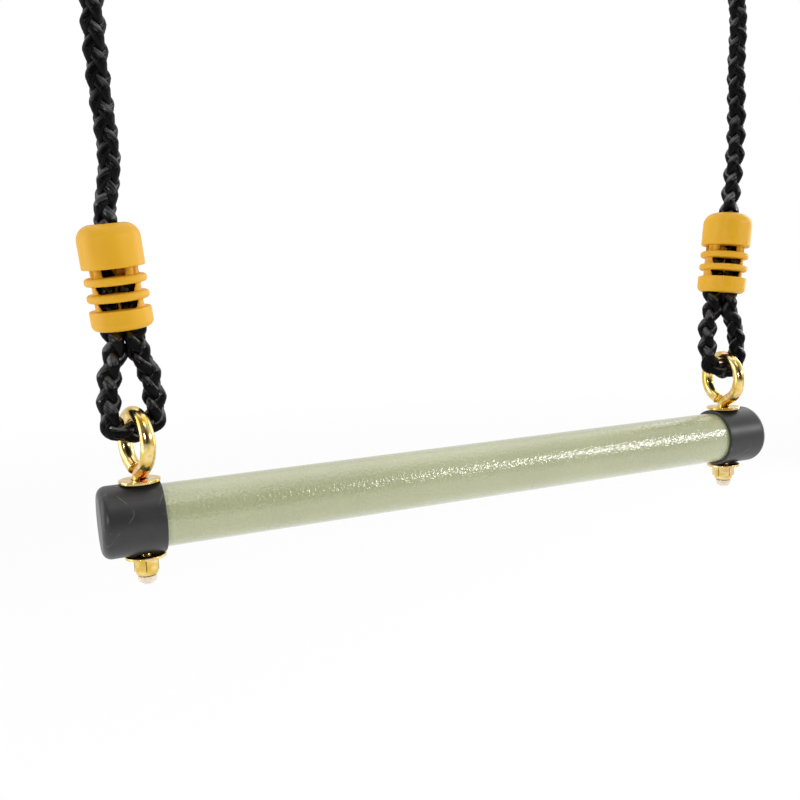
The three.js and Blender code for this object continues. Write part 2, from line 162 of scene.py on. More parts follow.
# Where each side hangs
BEND_HEIGHT = 153.5 * MM
BEND_OUTSET = 5.2 * MM
ROPE_DROP = 194.5 * MM
SIDES = {
    "left": {
        "sign": -1,
        "outboard_turn": math.pi,
        "eye_turn": 16 * DEGREE,
        "clamp_lean": 5 * DEGREE,
        "clamp_tilt": 5 * DEGREE,
        "clamp_turn": -10 * DEGREE,
        "loop_crown": -45 * DEGREE,
        "rope_crown": -45 * DEGREE,
    },
    "right": {
        "sign": 1,
        "outboard_turn": 0,
        "eye_turn": 0,
        "clamp_lean": 8 * DEGREE,
        "clamp_tilt": 0,
        "clamp_turn": -28 * DEGREE,
        "loop_crown": -45 * DEGREE,
        "rope_crown": -50 * DEGREE,
    },
}

# Hanging ring
RING_WIRE = 6 * MM
RING_INNER = 40 * MM

# Route of a loop: millimetres across it and along the clamp's axis
LOOP_ROUTE = [
    (-5.8, -24), (-5.8, -30), (-5.8, -38), (-5.8, -48), (-5.85, -54.5), (-6.4, -60.5),
    (-7.8, -66.5), (-9.6, -72.5), (-11, -79), (-12, -86), (-12.6, -92.4), (-12.5, -98.8),
    (-10, -103.6), (-5.2, -105.5), (0, -105.7), (5.2, -105.5), (10, -103.6), (12.5, -98.8),
    (12.6, -92.4), (12, -86), (11, -79), (9.6, -72.5), (7.8, -66.5), (6.4, -60.5),
    (5.85, -54.5), (5.8, -48), (5.8, -38), (5.8, -28), (5.4, -21), (3.4, -14.5), (1, -9),
    (0, -5.95),
]
CROSSING_POINTS = 6  # of that route, which lead from its long leg to the bend

# Routes of the hanging stretches: millimetres outboard of and above the bend
ROPE_ROUTES = {
    "left": [
        (0, 0), (0.5, 5), (0.6, 10), (-0.6, 17), (-2.6, 27), (-3.8, 37), (-3.7, 48),
        (-2.8, 63), (-2, 79), (-1.8, 97), (-1.9, 117), (-1.7, 137), (-1.1, 157), (-0.4, 175),
        (0, 188), (0, 194.5),
    ],
    "right": [
        (0, 0), (0.6, 5), (1.6, 12), (3, 21), (5, 35), (6.9, 51), (7.8, 69), (7.8, 87),
        (7.7, 104), (8.8, 120), (9.6, 136), (8.3, 151), (5, 167), (1.8, 181), (0.2, 190),
        (0, 194.5),
    ],
}

# Sizes that follow
TUBE_RADIUS = TUBE_DIAMETER / 2
CAP_RADIUS = TUBE_RADIUS + SEAT_GAP + CAP_WALL
WASHER_FACE = CAP_RADIUS + SEAT_GAP
WASHER_TOP = WASHER_FACE + WASHER_THICKNESS
BOLT_RADIUS = BOLT_DIAMETER / 2
HOLE_RADIUS = BOLT_RADIUS + BOLT_HOLE_GAP
ROPE_RADIUS = ROPE_DIAMETER / 2
BORE_RADIUS = ROPE_RADIUS + SEAT_GAP
BEND_START = WASHER_FACE + WASHER_THICKNESS / 2
EYE_REACH = EYE_RADIUS + EYE_BEND_RADIUS
FLARE_LENGTH = (EYE_REACH * math.cos(EYE_FLARE) - EYE_BEND_RADIUS) / math.sin(EYE_FLARE)
EYE_CENTRE = BEND_START + EYE_REACH * math.sin(EYE_FLARE) + FLARE_LENGTH * math.cos(EYE_FLARE)
LOOP_SEAT = EYE_CENTRE + EYE_RADIUS - BOLT_RADIUS - SEAT_GAP - ROPE_RADIUS
LOOP_REACH = max(-along for across, along in LOOP_ROUTE) * MM
CLAMP_MOUTH = BEND_DEPTH - CLAMP_LENGTH
TURN_START = CLAMP_MOUTH - STRAIGHT_LEG
NUT_TOP = -WASHER_TOP - SEAT_GAP
NUT_BOTTOM = NUT_TOP - NUT_HEX_HEIGHT - NUT_COLLAR_HEIGHT
BOLT_END = NUT_BOTTOM - BOLT_TAIL
RING_RADIUS = (RING_INNER + RING_WIRE) / 2
RING_WIRE_HEIGHT = BEND_HEIGHT + ROPE_DROP + LOOP_REACH - ROPE_RADIUS - SEAT_GAP - RING_WIRE / 2
GROOVE_TOPS = [
    BEND_DEPTH - CLAMP_HEAD - step * (CLAMP_GROOVE + CLAMP_FLANGE) for step in range(3)
]

# The bar's axis, from the frame
tube_low, tube_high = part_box("bar_tube")
BAR_AXIS = (tube_low.z + tube_high.z) / 2

# Depths of the finishes
PEEL_DEPTH = 0.42 * MM
CAP_GRAIN_DEPTH = 0.03 * MM
ZINC_GRAIN_DEPTH = 0.03 * MM
NYLON_GRAIN_DEPTH = 0.02 * MM
CLAMP_GRAIN_DEPTH = 0.02 * MM
CLAMP_GLOW_DEPTH = 1.5 * MM
STEEL_GRAIN_DEPTH = 0.02 * MM
YARN_DEPTH = 0.18 * MM
FIBRE_DEPTH = 0.12 * MM

# Camera at the photograph's viewpoint, measured from the middle of the bar's axis
CAMERA_PLACE = Vector((-259.1, -491.6, 116.9)) * MM
CAMERA_AZIMUTH = 23.16 * DEGREE
CAMERA_DROP = 7.11 * DEGREE
CAMERA_ROLL = 2.79 * DEGREE
CAMERA_LENS = 39.86  # millimetres, as is the sensor's width
CAMERA_SENSOR = 36

# Stage
FLOOR_DROP = 0.34  # below the bar's axis
FLOOR_RADIUS = 4.0
FLOOR_TONE = 0.9
FLOOR_GLOW = (0.86, 1.0)  # its share in the camera's view, near the middle and far out
FLOOR_GLOW_REACH = (0.5, 0.8 * FLOOR_RADIUS)
MIRRORED_GLOW = (0.1, 0.9)  # its share in reflections, before and behind the bar
MIRRORED_REACH = (-0.3, 0.7)
ROOM_LIGHT = (0.8, 0.03)  # of the walls, away from and along the dark way
ROOM_LIGHT_REACH = (0.15, 0.9)
DARK_WAY = (-0.42, -0.9, 0.1)  # toward the camera

# Lamps: place and target from the middle of the bar's axis, size and watts
ABOVE_BAR = (0, 0, 0.1)
LAMPS = {
    "top_softbox": ((0.1, 0.3, 1.4), ABOVE_BAR, (2.0, 1.4), 6),
    "high_softbox": ((-0.2, -0.8, 1.4), ABOVE_BAR, (0.6, 0.5), 2),
    "left_softbox": ((-1.5, 0.25, 0.3), ABOVE_BAR, (0.9, 1.3), 7),
    "right_softbox": ((1.5, 0.45, 0.4), ABOVE_BAR, (0.9, 1.3), 8),
    "front_softbox": ((1.45, -1.5, 0.74), (0.3, 0, 0), (1.2, 0.2), 13),
    "small_softbox": ((-1.2, -1.2, 0.45), ABOVE_BAR, (0.12, 0.16), 5),
}


# Node trees


def add_node(tree, kind, inputs=None, **settings):
    """Adds a node with its settings, and links or sets its inputs."""
    made = tree.nodes.new(kind)
    for name, value in settings.items():
        setattr(made, name, value)
    for key, value in (inputs or {}).items():
        if isinstance(value, bpy.types.NodeSocket):
            tree.links.new(value, made.inputs[key])
        else:
            made.inputs[key].default_value = value
    return made


def calc(tree, operation, first, second=0.0):
    inputs = {0: first, 1: second}
    return add_node(tree, "ShaderNodeMath", inputs, operation=operation).outputs[0]


def times(tree, first, second):
    return calc(tree, "MULTIPLY", first, second)


def total(tree, *terms):
    value = terms[0]
    for term in terms[1:]:
        value = calc(tree, "ADD", value, term)
    return value


def vector_calc(tree, operation, first, second):
    inputs = {0: first, 1: second}
    return add_node(tree, "ShaderNodeVectorMath", inputs, operation=operation).outputs[0]


def scaled(tree, vector, factor):
    inputs = {"Vector": vector, "Scale": factor}
    return add_node(tree, "ShaderNodeVectorMath", inputs, operation="SCALE").outputs[0]


def ranged(tree, value, low, high, from_low=0.0, from_high=1.0):
    """A value between low and high, as the given one goes from from_low to from_high."""
    limits = {"From Min": from_low, "From Max": from_high, "To Min": low, "To Max": high}
    return add_node(tree, "ShaderNodeMapRange", {"Value": value, **limits}).outputs["Result"]


# Materials


def screen_colour(red, green, blue):
    """A colour as it is read off the screen, 0 to 255, as a material's own values."""

    def straight(level):
        share = level / 255
        return share / 12.92 if share <= 0.04045 else ((share + 0.055) / 1.055) ** 2.4

    return (straight(red), straight(green), straight(blue), 1.0)


def start_material(name, **settings):
    """A material with its tree, its shader with some inputs set, and the place on the piece."""
    material = bpy.data.materials.new(name)
    material.use_nodes = True
    tree = material.node_tree
    shader = tree.nodes["Principled BSDF"]
    for socket, value in settings.items():
        shader.inputs[socket.replace("_", " ")].default_value = value
    place = add_node(tree, "ShaderNodeTexCoord").outputs["Object"]
    return material, tree, shader, place


def feed(tree, shader, **sockets):
    """Links values to a shader's inputs."""
    for socket, value in sockets.items():
        tree.links.new(value, shader.inputs[socket.replace("_", " ")])


def noise(tree, place, scale, detail=2.0, roughness=0.5):
    inputs = {"Vector": place, "Scale": scale, "Detail": detail, "Roughness": roughness}
    return add_node(tree, "ShaderNodeTexNoise", inputs).outputs["Fac"]


def ramp(tree, value, stops):
    """Runs through stops, each a position and a colour as it is read off the screen."""
    made = add_node(tree, "ShaderNodeValToRGB", {"Fac": value})
    elements = made.color_ramp.elements
    while len(elements) < len(stops):
        elements.new(0.5)
    for element, (position, colour) in zip(elements, stops):
        element.position = position
        element.color = screen_colour(*colour)
    return made.outputs["Color"]


def covered(tree, base, share, colour):
    """A colour with a share of another one over it."""
    inputs = {"Factor": share, "A": base, "B": screen_colour(*colour)}
    return add_node(tree, "ShaderNodeMix", inputs, data_type="RGBA").outputs["Result"]


def attribute(tree, name, output="Fac"):
    return add_node(tree, "ShaderNodeAttribute", attribute_name=name).outputs[output]


def bumped(tree, shader, height, depth, below=None):
    """Gives a shader bumps of some depth, on top of those below, and returns their normal."""
    inputs = {"Height": height, "Distance": depth, "Strength": 1.0}
    if below is not None:
        inputs["Normal"] = below
    normal = add_node(tree, "ShaderNodeBump", inputs).outputs["Normal"]
    feed(tree, shader, Normal=normal)
    return normal


def green_paint():
    """Sage green powder coat with a fine orange peel under its gloss."""
    material, tree, shader, place = start_material(
        "green_paint", Roughness=0.34, Coat_Weight=1.0, Coat_Roughness=0.04, Coat_IOR=1.7
    )
    shade = noise(tree, place, 18, 3)
    colour = ramp(tree, shade, [(0.3, (172, 177, 135)), (0.7, (180, 185, 144))])
    feed(tree, shader, Base_Color=colour, Roughness=ranged(tree, shade, 0.24, 0.32))
    peel = noise(tree, place, 560)
    feed(tree, shader, Coat_Normal=bumped(tree, shader, peel, PEEL_DEPTH))
    return material


def cap_plastic():
    """Charcoal plastic with a satin skin, faint specks and fine curved scratches."""
    material, tree, shader, place = start_material("cap_plastic", Roughness=0.45)
    base = ramp(tree, noise(tree, place, 90, 4), [(0.3, (41, 41, 42)), (0.75, (50, 50, 51))])
    cells = add_node(
        tree, "ShaderNodeTexVoronoi", {"Vector": place, "Scale": 130.0}, feature="F1"
    ).outputs["Distance"]
    sparse = ranged(tree, noise(tree, place, 42), 0, 1, 0.52, 0.62)
    specks = times(tree, ranged(tree, cells, 1.0, 0.0, 0.03, 0.09), sparse)
    trace = calc(tree, "ABSOLUTE", calc(tree, "SUBTRACT", noise(tree, place, 38, 0), 0.5))
    broken = ranged(tree, noise(tree, place, 120, 1), 0, 0.7, 0.5, 0.6)
    scratches = times(tree, ranged(tree, trace, 1.0, 0.0, 0.002, 0.008), broken)
    marks = calc(tree, "MAXIMUM", specks, scratches)
    colour = covered(tree, base, times(tree, marks, 0.4), (150, 150, 150))
    stretched = add_node(tree, "ShaderNodeMapping", {"Vector": place, "Scale": (1.0, 1.0, 9.0)})
    scuffs = noise(tree, stretched.outputs["Vector"], 160, 5, 0.7)
    feed(tree, shader, Base_Color=colour, Roughness=ranged(tree, scuffs, 0.33, 0.45))
    grain = total(tree, noise(tree, place, 1400), times(tree, scuffs, 0.6))
    bumped(tree, shader, grain, CAP_GRAIN_DEPTH)
    return material


def yellow_zinc():
    """Bright yellow zinc plate, gold with pink and green lights, with the nuts' corners drawn
    darker.
    """
    material, tree, shader, place = start_material("yellow_zinc", Roughness=0.16, Metallic=1.0)
    stops = [
        (0.30, (206, 166, 78)),
        (0.42, (226, 192, 98)),
        (0.51, (238, 218, 156)),
        (0.60, (230, 182, 104)),
        (0.70, (238, 194, 166)),
        (0.82, (212, 200, 120)),
    ]
    tint = ramp(tree, noise(tree, place, 95, 2, 0.6), stops)
    corners = times(tree, attribute(tree, "dark_corner"), 0.85)
    colour = covered(tree, tint, corners, (60, 42, 20))
    brushing = noise(tree, place, 420, 4, 0.6)
    feed(tree, shader, Base_Color=colour, Roughness=ranged(tree, brushing, 0.11, 0.24))
    bumped(tree, shader, noise(tree, place, 300, 3), ZINC_GRAIN_DEPTH)
    return material


def white_nylon():
    """Cream nylon with a satin skin."""
    material, tree, shader, place = start_material("white_nylon", Roughness=0.45)
    stops = [(0.3, (236, 222, 200)), (0.7, (243, 231, 212))]
    feed(tree, shader, Base_Color=ramp(tree, noise(tree, place, 260, 3), stops))
    bumped(tree, shader, noise(tree, place, 900), NYLON_GRAIN_DEPTH)
    return material


def clamp_plastic():
    """Warm yellow moulded plastic with a satin skin."""
    material, tree, shader, place = start_material(
        "clamp_plastic",
        Roughness=0.42,
        Specular_IOR_Level=0.3,
        Subsurface_Weight=0.08,
        Subsurface_Scale=CLAMP_GLOW_DEPTH,
    )
    cloud = noise(tree, place, 60, 3)
    colour = ramp(tree, cloud, [(0.3, (223, 166, 30)), (0.72, (230, 175, 38))])
    feed(tree, shader, Base_Color=colour, Roughness=ranged(tree, cloud, 0.38, 0.47))
    bumped(tree, shader, noise(tree, place, 1300), CLAMP_GRAIN_DEPTH)
    return material


def polished_steel():
    """Bright zinc plated steel."""
    material, tree, shader, place = start_material("polished_steel", Roughness=0.2, Metallic=1.0)
    stops = [(0.3, (186, 188, 192)), (0.7, (205, 206, 208))]
    colour = ramp(tree, noise(tree, place, 80, 3), stops)
    brushing = noise(tree, place, 500, 4, 0.6)
    feed(tree, shader, Base_Color=colour, Roughness=ranged(tree, brushing, 0.14, 0.3))
    bumped(tree, shader, brushing, STEEL_GRAIN_DEPTH)
    return material


def black_rope():
    """Black multifilament strands whose fibres run along them, with a painted highlight: their
    specular level is raised where they face up toward the lamps.
    """
    material, tree, shader, _ = start_material(
        "black_rope",
        Roughness=0.42,
        Specular_IOR_Level=0.3,
        Anisotropic=0.85,
        Anisotropic_Rotation=0.25,
    )
    run = add_node(tree, "ShaderNodeCombineXYZ", {"Z": times(tree, attribute(tree, "along"), 22)})
    around = attribute(tree, "around", "Vector")
    fibre_place = vector_calc(tree, "ADD", around, run.outputs["Vector"])
    fibres = noise(tree, fibre_place, 7.5, 3, 0.65)
    yarns = noise(tree, fibre_place, 1.7, 1)
    facing = add_node(tree, "ShaderNodeNewGeometry").outputs["Normal"]
    upward = add_node(tree, "ShaderNodeSeparateXYZ", {"Vector": facing}).outputs["Z"]
    streaks = total(tree, yarns, fibres)
    # Painted highlight: the specular level rises where the strands face up toward the lamps, with
    # jagged edges from the fibres, and most on the crowns.
    jagged = total(tree, upward, ranged(tree, streaks, -0.22, 0.22, 0.7, 1.3))
    painted_sheen = ranged(tree, jagged, 0.08, 1.0, 0.14, 0.46)
    painted_sheen = times(tree, painted_sheen, ranged(tree, streaks, 0.5, 1.4, 0.8, 1.2))
    painted_sheen = times(tree, painted_sheen, ranged(tree, attribute(tree, "swell"), 0.35, 1.1, -0.4, 0.9))
    strand_way = add_node(
        tree,
        "ShaderNodeVectorTransform",
        {"Vector": attribute(tree, "run", "Vector")},
        vector_type="VECTOR",
        convert_from="OBJECT",
        convert_to="WORLD",
    )
    feed(
        tree,
        shader,
        Base_Color=ramp(tree, fibres, [(0.32, (4, 4, 5)), (0.72, (12, 12, 13))]),
        Roughness=ranged(tree, fibres, 0.38, 0.26, 0.3, 0.7),
        Specular_IOR_Level=painted_sheen,
        Tangent=strand_way.outputs["Vector"],
    )
    below = bumped(tree, shader, yarns, YARN_DEPTH)
    bumped(tree, shader, fibres, FIBRE_DEPTH, below)
    return material


# Meshes


def soft_outline(corners, steps, closed=True):
    """Points of an outline given as (x, y, rounding) corners."""
    count = len(corners)
    points = []
    for index, (x, y, rounding) in enumerate(corners):
        ends = not closed and index in (0, count - 1)
        if rounding == 0 or ends:
            points.append((x, y))
            continue
        here = Vector((x, y))
        before = Vector(corners[index - 1][:2]) - here
        after = Vector(corners[(index + 1) % count][:2]) - here
        half = before.angle(after) / 2
        reach = rounding / math.tan(half)
        start = here + before.normalized() * reach
        finish = here + after.normalized() * reach
        inward = (before.normalized() + after.normalized()).normalized()
        middle = here + inward * (rounding / math.sin(half))
        first = start - middle
        turn = first.angle_signed(finish - middle)
        for step in range(steps + 1):
            arm = first.copy()
            arm.rotate(Matrix.Rotation(-turn * step / steps, 2))
            points.append(tuple(middle + arm))
    return points


def cylinder(radius, low, high):
    """Half of a cylinder's outline, to be turned about Z."""
    return [(0, low), (radius, low), (radius, high), (0, high)]


def circle_points(facets, offset=0.0):
    """Points evenly round a circle of radius 1, from an offset counted in facets."""
    angles = [2 * math.pi * (facet + offset) / facets for facet in range(facets)]
    return [(math.cos(angle), math.sin(angle)) for angle in angles]


def join(shape, low, high):
    """Faces between two rings of points, of which one may be a single point."""
    count = max(len(low), len(high))
    for index in range(count):
        after = (index + 1) % count
        if len(low) == 1:
            shape.faces.new((low[0], high[after], high[index]))
        elif len(high) == 1:
            shape.faces.new((low[index], low[after], high[0]))
        else:
            shape.faces.new((low[index], low[after], high[after], high[index]))


def join_rings(shape, rings, closed=False):
    """Faces from each ring of points to the next, and back to the first if closed."""
    following = rings[1:] + rings[:1] if closed else rings[1:]
    for low, high in zip(rings, following):
        join(shape, low, high)


def add_object(name, data):
    """A new object in the scene."""
    made = bpy.data.objects.new(name, data)
    bpy.context.collection.objects.link(made)
    return made


def object_of(name, shape):
    """A new object from a bmesh, with faces outward."""
    bmesh.ops.recalc_face_normals(shape, faces=shape.faces)
    mesh = bpy.data.meshes.new(name)
    shape.to_mesh(mesh)
    shape.free()
    return add_object(name, mesh)


def turned(name, profile, facets, closed=False):
    """Revolves (radius, height) points about Z. A closed profile goes round without poles."""
    shape = bmesh.new()
    rings = []
    for radius, height in profile:
        if radius == 0:
            rings.append([shape.verts.new((0, 0, height))])
            continue
        spots = [(radius * x, radius * y, height) for x, y in circle_points(facets)]
        rings.append([shape.verts.new(spot) for spot in spots])
    join_rings(shape, rings, closed)
    return object_of(name, shape)


def turned_outline(name, corners, steps, facets, closed=False):
    """Revolves an outline given as (radius, height, rounding) corners about Z."""
    return turned(name, soft_outline(corners, steps, closed), facets, closed)


def prism(name, outline, low, high):
    """Extrudes an outline from one height to another along Z."""
    shape = bmesh.new()
    bottom = [shape.verts.new((x, y, low)) for x, y in outline]
    top = [shape.verts.new((x, y, high)) for x, y in outline]
    shape.faces.new(list(reversed(bottom)))
    shape.faces.new(top)
    join(shape, bottom, top)
    return object_of(name, shape)


def ring_prism(name, inner, outer, low, high):
    """A prism between two outlines of as many points, with a hole through it."""
    shape = bmesh.new()
    rows = [
        [shape.verts.new((x, y, height)) for x, y in outline]
        for outline, height in ((inner, low), (outer, low), (outer, high), (inner, high))
    ]
    join_rings(shape, rows, closed=True)
    return object_of(name, shape)


def box(middle, width, near, depth, low, high):
    """A block with its width about a middle on X, and its depth from near on Y."""
    left, right = middle - width / 2, middle + width / 2
    far = near + depth
    return prism("box", [(left, near), (right, near), (right, far), (left, far)], low, high)


def rounded_ends(rows, rounding):
    """A sweep's rows with smaller ones added at both ends."""
    start, finish = [], []
    for step in range(1, WIRE_END_STEPS + 1):
        angle = math.pi / 2 * step / WIRE_END_STEPS
        inset = rounding * (1 - math.cos(angle))
        reach = rounding * math.sin(angle)
        place, heading, across, up, radius = rows[0]
        start.insert(0, (place - heading * reach, heading, across, up, radius - inset))
        place, heading, across, up, radius = rows[-1]
        finish.append((place + heading * reach, heading, across, up, radius - inset))
    return start + rows + finish


def swept(name, places, radius, facets, end_round=0.0, closed=False):
    """Sweeps a round section along places, with flat ends whose edges may be rounded."""
    rows = []
    count = len(places)
    heading = (places[1] - places[0]).normalized()
    across = heading.orthogonal().normalized()
    for index, place in enumerate(places):
        before = places[index - 1] if index or closed else place
        after = places[(index + 1) % count] if index + 1 < count or closed else place
        new_heading = (after - before).normalized()
        across.rotate(heading.rotation_difference(new_heading))
        heading = new_heading
        across = (across - heading * across.dot(heading)).normalized()
        rows.append((place, heading.copy(), across.copy(), heading.cross(across), radius))
    if end_round:
        rows = rounded_ends(rows, end_round)
    shape = bmesh.new()
    rings = []
    for place, _, across, up, size in rows:
        arms = [across * x + up * y for x, y in circle_points(facets)]
        rings.append([shape.verts.new(place + arm * size) for arm in arms])
    join_rings(shape, rings, closed)
    if not closed:
        shape.faces.new(rings[0])
        shape.faces.new(rings[-1])
    return object_of(name, shape)


def baked(piece):
    """Turns a piece and its modifiers into a plain mesh."""
    depsgraph = bpy.context.evaluated_depsgraph_get()
    mesh = bpy.data.meshes.new_from_object(piece.evaluated_get(depsgraph))
    piece.modifiers.clear()
    piece.data = mesh
    return piece


def combine(piece, tool, operation="DIFFERENCE"):
    """Cuts a piece by a tool, or joins or limits it to the tool, and removes the tool."""
    modifier = piece.modifiers.new("cut", "BOOLEAN")
    modifier.operation = operation
    modifier.solver = "MANIFOLD"
    modifier.object = tool
    baked(piece)
    bpy.data.objects.remove(tool)


def smoothed(piece, angle=SHARP_ANGLE):
    """Shades a piece smooth, except over sharp edges."""
    piece.data.shade_smooth()
    piece.data.set_sharp_from_angle(angle=angle)
    modifier = piece.modifiers.new("normals", "WEIGHTED_NORMAL")
    modifier.keep_sharp = True
    return baked(piece)


def dress(piece, node, body, material):
    """Gives a finished piece its material and its body, and hides the node that it stands for."""
    piece.data.materials.clear()
    piece.data.materials.append(material)
    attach(piece, body)
    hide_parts(node)


def copied(piece, name, place):
    """A copy of a piece with its place in its mesh."""
    made = add_object(name, piece.data.copy())
    made.data.transform(place)
    return made


# Places


def bolt_point(side, height):
    """A point on the axis of a side's bolt, at a height above the bar's axis."""
    return Vector((side["sign"] * BOLT_SPACING / 2, 0, BAR_AXIS + height))


def hung_point(side, height):
    """A point above or below a side's bend points, at a height above the bar's axis."""
    return Vector((side["sign"] * (BOLT_SPACING / 2 + BEND_OUTSET), 0, BAR_AXIS + height))


def lower_frame(side):
    """Frame of a side's lower clamp, with its origin at the bend point."""
    return (
        Matrix.Translation(hung_point(side, BEND_HEIGHT))
        @ Matrix.Rotation(side["sign"] * side["clamp_lean"], 4, "Y")
        @ Matrix.Rotation(side["clamp_tilt"], 4, "X")
        @ Matrix.Rotation(side["clamp_turn"] + side["outboard_turn"], 4, "Z")
    )


def upper_frame(side):
    """Frame of a side's upper clamp, which hangs upside down."""
    turn = Matrix.Rotation(math.pi, 4, "X") @ Matrix.Rotation(math.pi / 2, 4, "Z")
    return Matrix.Translation(hung_point(side, BEND_HEIGHT + ROPE_DROP)) @ turn


def smooth_share(share):
    return share * share * (3 - 2 * share)


def loop_points(seat, turn):
    """The loop's route in its clamp's frame, with its lower part led to the seat."""
    points = []
    for across, along in LOOP_ROUTE:
        across, along = across * MM, along * MM
        nearness = 1 - abs(along - CLAMP_MOUTH + LEG_PULL_DROP) / LEG_PULL_REACH
        across -= math.copysign(LEG_PULL * max(0, nearness), across)
        share = min(max((TURN_START - along) / (TURN_START + LOOP_REACH), 0), 1)
        angle = turn * smooth_share(share)
        spot = Vector((across * math.cos(angle), across * math.sin(angle), along))
        points.append(spot + seat * share)
    return points


def curve_through(points, steps=8):
    """Points on a centripetal Catmull-Rom curve through the given ones."""
    padded = [points[0] * 2 - points[1], *points, points[-1] * 2 - points[-2]]
    line = []
    for first, second, third, fourth in zip(padded, padded[1:], padded[2:], padded[3:]):
        pairs = ((first, second), (second, third), (third, fourth))
        before, between, after = [(end - start).length ** 0.5 for start, end in pairs]
        leave = (second - first) / before - (third - first) / (before + between)
        leave = (leave + (third - second) / between) * between
        arrive = (third - second) / between - (fourth - second) / (between + after)
        arrive = (arrive + (fourth - third) / after) * between
        for step in range(steps):
            t = step / steps
            line.append(
                second * (2 * t**3 - 3 * t**2 + 1)
                + leave * (t**3 - 2 * t**2 + t)
                + third * (3 * t**2 - 2 * t**3)
                + arrive * (t**3 - t**2)
            )
    line.append(points[-1])
    return line


# Ropes


def keep(tree, geometry, name, value, kind="FLOAT"):
    """Stores a value on each point under a name."""
    inputs = {"Geometry": geometry, "Name": name, "Value": value}
    settings = {"data_type": kind, "domain": "POINT"}
    made = add_node(tree, "GeometryNodeStoreNamedAttribute", inputs, **settings)
    return made.outputs["Geometry"]


def recall(tree, name, kind="FLOAT"):
    """The value that is stored under a name."""
    made = add_node(tree, "GeometryNodeInputNamedAttribute", {"Name": name}, data_type=kind)
    return made.outputs["Attribute"]


def braid_inputs(tree):
    """The braid's named inputs, with this rope's sizes."""
    face = tree.interface
    face.new_socket("Geometry", in_out="INPUT", socket_type="NodeSocketGeometry")
    sizes = {
        "Step": STRAND_STEP,
        "Lay Length": LAY_LENGTH,
        "Braid Radius": BRAID_RADIUS,
        "Over Under": OVER_UNDER,
        "Strand Width": STRAND_WIDTH,
        "Strand Thickness": STRAND_THICKNESS,
        "Crown Hold": CROWN_HOLD,
        "Crown Swell": CROWN_SWELL,
        "Crown Angle": 0.0,
        "Twist": BRAID_TWIST,
    }
    for name, value in sizes.items():
        socket = face.new_socket(name, in_out="INPUT", socket_type="NodeSocketFloat")
        socket.default_value = value
    front = face.new_socket("Front", in_out="INPUT", socket_type="NodeSocketVector")
    front.default_value = FRONT
    face.new_socket("Material", in_out="INPUT", socket_type="NodeSocketMaterial")
    face.new_socket("Geometry", in_out="OUTPUT", socket_type="NodeSocketGeometry")
    return add_node(tree, "NodeGroupInput").outputs


def strand_section(tree, given):
    """A strand's oval section, which keeps each point's place around it."""
    inputs = {"Resolution": STRAND_SIDES, "Radius": 1.0}
    circle = add_node(tree, "GeometryNodeCurvePrimitiveCircle", inputs).outputs["Curve"]
    spot = add_node(tree, "GeometryNodeInputPosition").outputs["Position"]
    sizes = {
        "X": times(tree, given["Strand Thickness"], 0.5),
        "Y": times(tree, given["Strand Width"], 0.5),
        "Z": 1.0,
    }
    inputs = {
        "Geometry": keep(tree, circle, "around", spot, "FLOAT_VECTOR"),
        "Scale": add_node(tree, "ShaderNodeCombineXYZ", sizes).outputs["Vector"],
    }
    return add_node(tree, "GeometryNodeTransform", inputs).outputs["Geometry"]


def strand_lines(tree, given):
    """The four strands' middle lines, which keep what their skin and its material need."""
    inputs = {"Curve": given["Geometry"], "Length": given["Step"]}
    line = add_node(tree, "GeometryNodeResampleCurve", inputs, mode="LENGTH").outputs["Curve"]
    inputs = {"Geometry": line, "Amount": STRANDS}
    strands = add_node(tree, "GeometryNodeDuplicateElements", inputs, domain="SPLINE").outputs
    index = strands["Duplicate Index"]
    way = calc(tree, "SUBTRACT", 1.0, times(tree, calc(tree, "MODULO", index, 2.0), 2.0))
    partner = calc(tree, "FLOOR", calc(tree, "DIVIDE", index, 2.0))
    travel = add_node(tree, "GeometryNodeSplineParameter").outputs["Length"]
    turn = times(tree, calc(tree, "DIVIDE", travel, given["Lay Length"]), 2 * math.pi)
    double = times(tree, turn, 2.0)
    held = times(tree, calc(tree, "SINE", double), given["Crown Hold"])
    angle = total(
        tree,
        calc(tree, "SUBTRACT", times(tree, turn, way), held),
        times(tree, partner, math.pi),
        given["Crown Angle"],
        times(tree, travel, given["Twist"]),
    )
    wave = times(tree, calc(tree, "COSINE", double), way)
    size = add_node(tree, "GeometryNodeInputRadius").outputs["Radius"]
    lift = times(tree, wave, given["Over Under"])
    reach = times(tree, total(tree, lift, given["Braid Radius"]), size)
    tangent = add_node(tree, "GeometryNodeInputTangent").outputs["Tangent"]
    across = vector_calc(tree, "CROSS_PRODUCT", tangent, given["Front"])
    binormal = vector_calc(tree, "NORMALIZE", across, (0.0, 0.0, 0.0))
    normal = vector_calc(tree, "CROSS_PRODUCT", binormal, tangent)
    outward = vector_calc(
        tree,
        "ADD",
        scaled(tree, normal, calc(tree, "COSINE", angle)),
        scaled(tree, binormal, calc(tree, "SINE", angle)),
    )
    swell = total(tree, times(tree, wave, given["Crown Swell"]), 1.0)
    lines = keep(tree, strands["Geometry"], "outward", outward, "FLOAT_VECTOR")
    lines = keep(tree, lines, "along", travel)
    lines = keep(tree, lines, "swell", times(tree, swell, size))
    inputs = {"Geometry": lines, "Offset": scaled(tree, outward, reach)}
    lines = add_node(tree, "GeometryNodeSetPosition", inputs).outputs["Geometry"]
    inputs = {"Curve": lines, "Normal": recall(tree, "outward", "FLOAT_VECTOR")}
    lines = add_node(tree, "GeometryNodeSetCurveNormal", inputs, mode="FREE").outputs["Curve"]
    inputs = {"Curve": lines, "Radius": recall(tree, "swell")}
    lines = add_node(tree, "GeometryNodeSetCurveRadius", inputs).outputs["Curve"]
    run = add_node(tree, "GeometryNodeInputTangent").outputs["Tangent"]
    return keep(tree, lines, "run", run, "FLOAT_VECTOR")


